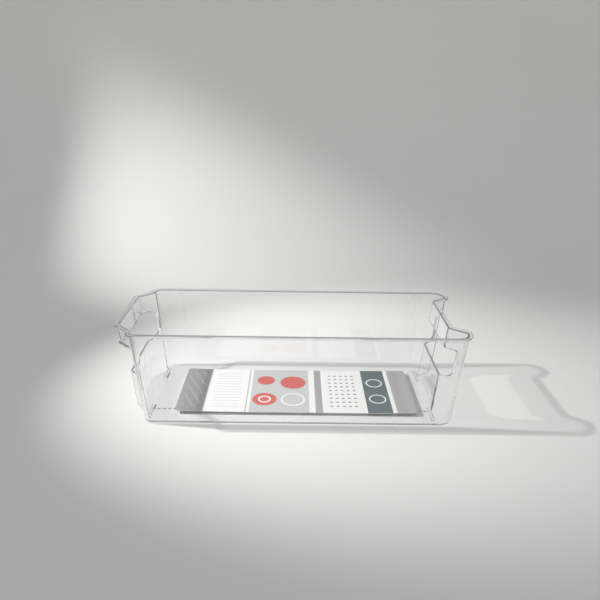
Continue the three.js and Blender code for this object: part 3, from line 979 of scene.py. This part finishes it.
def printed_card(card, low):
    """A satin card with a plain geometric print: shaded panels, discs, dots and bars."""
    material = bpy.data.materials.new("printed_card")
    graph = Graph(material)
    marks = Print(graph, low)
    silver = graph.mix(graph.streaks(marks.spot, SHADING_SCALES, SHADING), card.silver, card.grey)
    slashes = marks.lines(marks.x + marks.y * SLASH_SLANT, *SLASHES) * marks.box(*SLASHED_BOX)
    fine = marks.lines(marks.y, *FINE_LINES) * marks.box(*LINED_BOX)
    columns, rows = marks.lines(marks.x, *DOTS_ACROSS), marks.lines(marks.y, *DOTS_ALONG)
    first_ring, second_ring = [marks.ring(*ring, BLOCK_RING_LINE) for ring in BLOCK_RINGS]
    layers = [
        (marks.box(*SHADED_END), silver),
        (slashes * SLASH_STRENGTH, card.grey),
        (fine * LINE_STRENGTH, card.grey),
        (marks.box(*THIN_RULE), card.grey),
        (marks.box(*FIGURE_PANEL) * PANEL_STRENGTH, card.grey),
        *[(marks.disc(*disc), card.accent) for disc in ACCENT_DISCS],
        *[(marks.ring(*ring, PANEL_RING_LINE), card.paper) for ring in PANEL_RINGS],
        (marks.box(*SHADED_BAND), silver),
        (columns * rows * marks.box(*DOTTED_BOX), card.ink),
        (marks.box(*INK_BLOCK), card.ink),
        (first_ring + second_ring, card.paper),
        (marks.box(*FAR_END) * FAR_END_STRENGTH, silver),
        (graph.noise(marks.spot, MOTTLE) * MOTTLE_STRENGTH, card.grey),
    ]
    look = card.paper
    for mask, ink in layers:
        look = graph.mix(mask, look, ink)
    fibre = graph.noise(marks.spot, FIBRE)
    surface = graph.node("ShaderNodeBsdfPrincipled", sockets={
        "Base Color": look,
        "Roughness": fibre * FIBRE_ROUGHNESS + CARD_ROUGHNESS,
        "IOR": CARD_IOR,
        "Normal": graph.bump(fibre, FIBRE_DEPTH),
    })
    graph.node("ShaderNodeOutputMaterial", sockets={"Surface": surface})
    return material


# The photograph's camera: a pinhole fitted to the rim, base and card lines of a 600 by 600 picture
PICTURE_WIDTH_PX = 600
FOCAL_PX = 590
SENSOR_WIDTH_MM = 36
CAMERA_PLACE = (0.955 * MM, -528.26 * MM, 303.89 * MM)
CAMERA_YAW = 0.01124
CAMERA_PITCH = 0.36504
CAMERA_ROLL = 0.0174
CLIP_START = 10 * MM


def photograph_camera():
    """The camera, turned by yaw, pitch and roll from looking along +Y."""
    forward = Vector((
        math.sin(CAMERA_YAW) * math.cos(CAMERA_PITCH),
        math.cos(CAMERA_YAW) * math.cos(CAMERA_PITCH),
        -math.sin(CAMERA_PITCH),
    ))
    right = Vector((math.cos(CAMERA_YAW), -math.sin(CAMERA_YAW), 0.0))
    up = right.cross(forward)
    turned_right = right * math.cos(CAMERA_ROLL) + up * math.sin(CAMERA_ROLL)
    turned_up = up * math.cos(CAMERA_ROLL) - right * math.sin(CAMERA_ROLL)
    data = bpy.data.cameras.new("photograph_camera")
    data.sensor_fit = "HORIZONTAL"
    data.sensor_width = SENSOR_WIDTH_MM
    data.lens = SENSOR_WIDTH_MM * FOCAL_PX / PICTURE_WIDTH_PX
    data.clip_start = CLIP_START
    camera = bpy.data.objects.new("photograph_camera", data)
    turned = Matrix((turned_right, turned_up, -forward)).transposed().to_4x4()
    camera.matrix_world = Matrix.Translation(CAMERA_PLACE) @ turned
    bpy.context.scene.collection.objects.link(camera)
    bpy.context.scene.camera = camera


SWEEP_DEPTH = 0.62
SWEEP_HALF_WIDTH = 2.2
SWEEP_FRONT = -1.6
SWEEP_RADIUS = 0.35
SWEEP_HEIGHT = 0.6
SWEEP_STEPS = 24
FLOOR_GAP = 0.05 * MM
FLOOR_GRAIN = {"Scale": 300.0, "Detail": 3.0}
GRAIN_DEPTH = {"Strength": 0.1, "Distance": 0.1 * MM}
GRAIN_STRENGTH = 0.04
GRAIN_SHADE = 0.9
FLOOR_ROUGHNESS = 0.7


def pale_floor(studio):
    """A dull pale surface with a fine grain."""
    material = bpy.data.materials.new("pale_floor")
    graph = Graph(material)
    grain = graph.noise(graph.place().spot, FLOOR_GRAIN)
    darker = [value * GRAIN_SHADE for value in studio.floor]
    surface = graph.node("ShaderNodeBsdfPrincipled", sockets={
        "Base Color": graph.mix(grain * GRAIN_STRENGTH, studio.floor, darker),
        "Roughness": FLOOR_ROUGHNESS,
        "Normal": graph.bump(grain, GRAIN_DEPTH),
    })
    graph.node("ShaderNodeOutputMaterial", sockets={"Surface": surface})
    return material


def studio_sweep(studio):
    """A pale floor that sweeps up behind the object."""
    profile = [(SWEEP_FRONT, 0.0), (SWEEP_DEPTH - SWEEP_RADIUS, 0.0)]
    for s, c in quarter(SWEEP_STEPS):
        profile.append((SWEEP_DEPTH - SWEEP_RADIUS * (1 - s), SWEEP_RADIUS * (1 - c)))
    profile.append((SWEEP_DEPTH, SWEEP_HEIGHT))
    mesh = bmesh.new()
    add_grid(mesh, [
        [mesh.verts.new((x, y, z - FLOOR_GAP)) for x in (-SWEEP_HALF_WIDTH, SWEEP_HALF_WIDTH)]
        for y, z in profile
    ])
    data = bpy.data.meshes.new("studio_sweep")
    mesh.to_mesh(data)
    mesh.free()
    data.materials.append(pale_floor(studio))
    sweep = bpy.data.objects.new("studio_sweep", data)
    bpy.context.scene.collection.objects.link(sweep)
    smooth(sweep)


# Both lamps stand at the left. Their cones are in degrees.
KEY_PLACE = (-0.68, -0.006, 0.70)
KEY_AIM = (0.062, 0.034, 0.0)
KEY_CONE = 33.3
SHAFT_PLACE = (-0.696, 0.50, 0.776)
SHAFT_AIM = (-0.052, 0.424, -0.056)
SHAFT_CONE = 35.9
LAMP_RADIUS = 9 * MM
LAMP_BLEND = 1.0


def spot_lamp(name, power, place, aim, cone):
    """A small lamp that lays a soft-edged pool of light."""
    data = bpy.data.lights.new(name, "SPOT")
    data.energy = power
    data.shadow_soft_size = LAMP_RADIUS
    data.spot_size = math.radians(cone)
    data.spot_blend = LAMP_BLEND
    lamp = bpy.data.objects.new(name, data)
    lamp.location = place
    lamp.rotation_mode = "QUATERNION"
    lamp.rotation_quaternion = (Vector(aim) - Vector(place)).to_track_quat("-Z", "Y")
    bpy.context.scene.collection.objects.link(lamp)


# Height of the way looked, from straight down to straight up, and its colour
WORLD_STOPS = (
    (0.0, (0.70, 0.70, 0.68)),
    (0.6, (0.70, 0.70, 0.68)),
    (0.75, (0.36, 0.38, 0.38)),
    (1.0, (0.30, 0.32, 0.33)),
)
WHITE = (1.0, 1.0, 1.0)


def soft_world(studio):
    """Even light on dull surfaces. The camera and gloss see a pale horizon under a darker ceiling."""
    world = bpy.data.worlds.new("studio_light")
    bpy.context.scene.world = world
    graph = Graph(world)
    way = graph.node("ShaderNodeTexCoord", output="Generated")
    split = graph.node("ShaderNodeSeparateXYZ", sockets={0: way})
    height = split.other("Z") * 0.5 + 0.5
    seen = graph.node("ShaderNodeValToRGB", {"stops": WORLD_STOPS}, {0: height})
    ray = graph.node("ShaderNodeLightPath", output="Is Diffuse Ray")
    tone = graph.mix(ray, seen, WHITE)
    strength = ray * (studio.fill - 1.0) + 1.0
    graph.node("ShaderNodeOutputWorld", sockets={
        "Surface": graph.node("ShaderNodeBackground", sockets={"Color": tone, "Strength": strength}),
    })


class STORAGEBIN_OT_moulding(bpy.types.Operator):
    """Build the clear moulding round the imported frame"""

    bl_idname = "storage_bin.build_moulding"
    bl_label = "Clear moulding"

    def execute(self, context):
        size = plain(context.scene.storage_bin_shape)
        finish = plain(context.scene.storage_bin_finish)
        piece = moulded_bin(size, bin_high.z, bin_low.z)
        base_z = bin_low.z + size.foot_height
        piece.data.materials.append(clear_plastic(finish, base_z, bin_high.z - RIM_SHADE_HEIGHT))
        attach(piece, "bin")
        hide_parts("bin_body")
        return {"FINISHED"}


class STORAGEBIN_OT_card(bpy.types.Operator):
    """Build the printed card that lies on the bin's floor"""

    bl_idname = "storage_bin.build_card"
    bl_label = "Printed card"

    def execute(self, context):
        card = plain(context.scene.storage_bin_card)
        piece = card_sheet(card, card_low, card_high)
        piece.data.materials.append(printed_card(card, card_low))
        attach(piece, "card")
        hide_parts("insert_card")
        return {"FINISHED"}


class STORAGEBIN_OT_studio(bpy.types.Operator):
    """Set up the pale floor, the two lamps and the camera"""

    bl_idname = "storage_bin.build_studio"
    bl_label = "Studio"

    def execute(self, context):
        studio = plain(context.scene.storage_bin_studio)
        context.scene.view_settings.view_transform = "Standard"
        photograph_camera()
        studio_sweep(studio)
        spot_lamp("key_lamp", studio.key, KEY_PLACE, KEY_AIM, KEY_CONE)
        spot_lamp("shaft_lamp", studio.shaft, SHAFT_PLACE, SHAFT_AIM, SHAFT_CONE)
        soft_world(studio)
        return {"FINISHED"}


class STORAGEBIN_PT_panel(bpy.types.Panel):
    """Lists the pieces and their sizes in the sidebar"""

    bl_label = "Storage Bin"
    bl_idname = "STORAGEBIN_PT_panel"
    bl_space_type = "VIEW_3D"
    bl_region_type = "UI"
    bl_category = "Storage Bin"

    def draw(self, context):
        for operator in OPERATORS:
            self.layout.operator(operator.bl_idname)
        for name, group in GROUPS.items():
            box = self.layout.box()
            for key in group.__annotations__:
                box.prop(getattr(context.scene, name), key)


GROUPS = {
    "storage_bin_shape": StorageBinShape,
    "storage_bin_finish": StorageBinFinish,
    "storage_bin_card": StorageBinCard,
    "storage_bin_studio": StorageBinStudio,
}
OPERATORS = (STORAGEBIN_OT_moulding, STORAGEBIN_OT_card, STORAGEBIN_OT_studio)


def register():
    for kind in (*GROUPS.values(), *OPERATORS, STORAGEBIN_PT_panel):
        bpy.utils.register_class(kind)
    for name, group in GROUPS.items():
        setattr(bpy.types.Scene, name, bpy.props.PointerProperty(type=group))


def unregister():
    for name in GROUPS:
        delattr(bpy.types.Scene, name)
    for kind in (STORAGEBIN_PT_panel, *reversed(OPERATORS), *reversed(GROUPS.values())):
        bpy.utils.unregister_class(kind)


def main():
    register()
    bpy.ops.storage_bin.build_moulding()
    bpy.ops.storage_bin.build_card()
    bpy.ops.storage_bin.build_studio()


if __name__ == "__main__":
    main()
